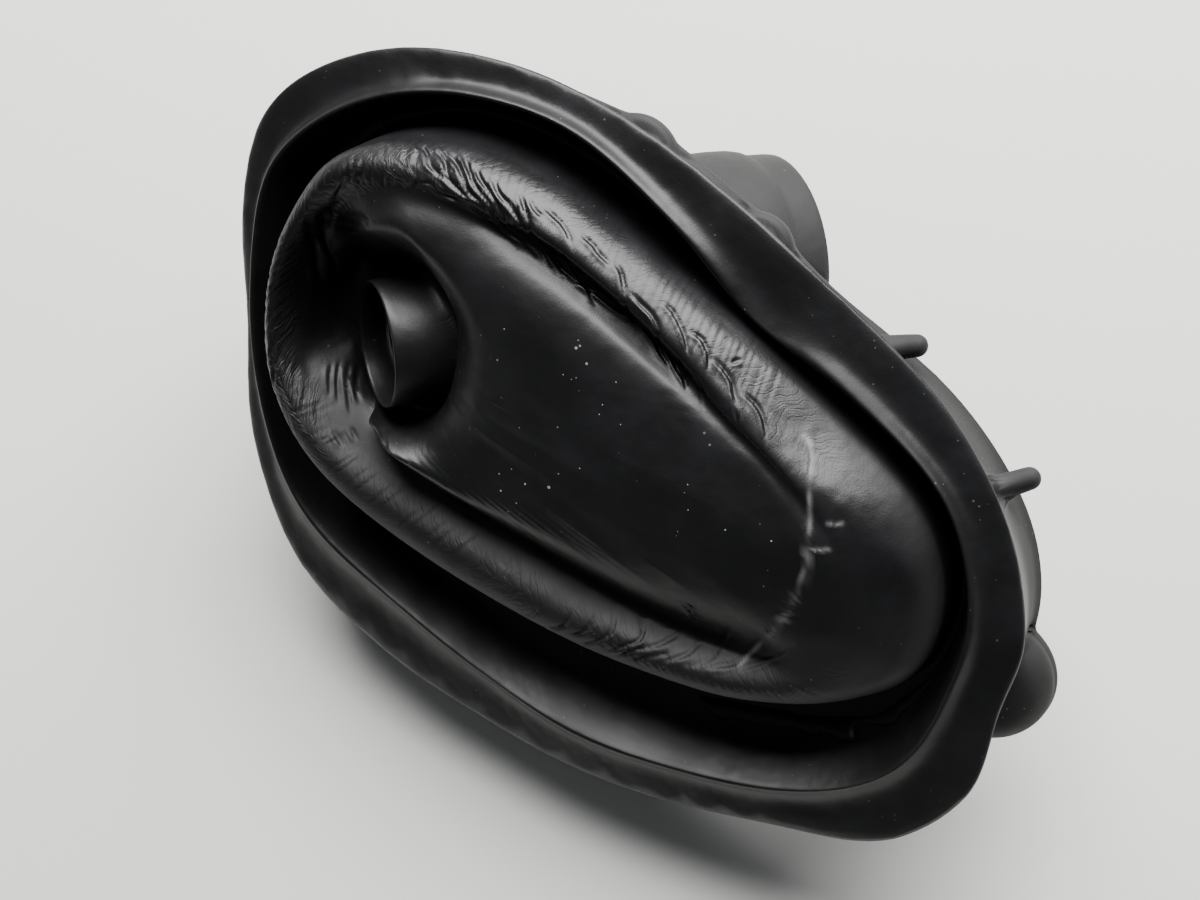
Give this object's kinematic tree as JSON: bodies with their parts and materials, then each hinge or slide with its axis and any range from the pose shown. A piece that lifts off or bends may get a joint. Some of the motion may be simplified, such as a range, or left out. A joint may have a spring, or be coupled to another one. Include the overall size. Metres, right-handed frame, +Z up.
{
  "type": "steering column cover",
  "caption": "Oval moulded rubber boot with a wide sealing lip, a folded domed membrane with an inclined neck and a wide rear sleeve, lugs and ears.",
  "frame": {"origin": "middle of the footprint, at the table on which the cover lies", "axes": "+X along the lip's long way, from the neck's end to the end ear's end; +Z up, with the lip and the neck facing up; +Y to the side where the sleeve reaches out"},
  "size_m": [0.2602, 0.1854, 0.1147],
  "materials": {
    "rubber": "black moulded rubber, satin, glossier on the membrane"
  },
  "bodies": {
    "root": {"column_cover": "rubber"}
  },
  "joints": []
}
